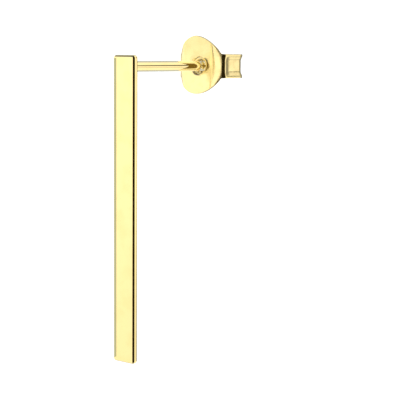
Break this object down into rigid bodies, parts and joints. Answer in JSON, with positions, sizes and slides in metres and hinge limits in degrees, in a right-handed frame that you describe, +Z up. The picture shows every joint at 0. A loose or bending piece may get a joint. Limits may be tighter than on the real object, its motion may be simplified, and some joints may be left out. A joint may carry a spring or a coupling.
{
  "type": "bar stud earring",
  "caption": "Slim polished bar stud earring lying on its side, with a round post soldered near its top end and a bent-sheet butterfly friction back that slides along the post.",
  "frame": {"origin": "middle of the base of the box round the earring as it lies, on the surface that it lies on", "axes": "+Z up; +Y along the bar towards its top end, where the post is; +X from the bar towards the friction back. The post's axis runs along +X and 7.53 degrees uphill."},
  "size_m": [0.0136, 0.0266, 0.0051],
  "materials": {
    "polished_gold": "mirror-polished pale yellow gold plating on silver, with faint polishing marks",
    "pressed_gold": "bright-dipped pale yellow gold plating on pressed silver sheet, slightly softer than the bar"
  },
  "bodies": {
    "stud": {"bar_with_post": "polished_gold"},
    "back": {"butterfly_back": "pressed_gold"}
  },
  "joints": [
    {"name": "back_slide", "type": "slide", "parent": "stud", "child": "back", "axis": [0.9914, 0, 0.1311], "range_m": [-0.0082, 0.006]}
  ]
}
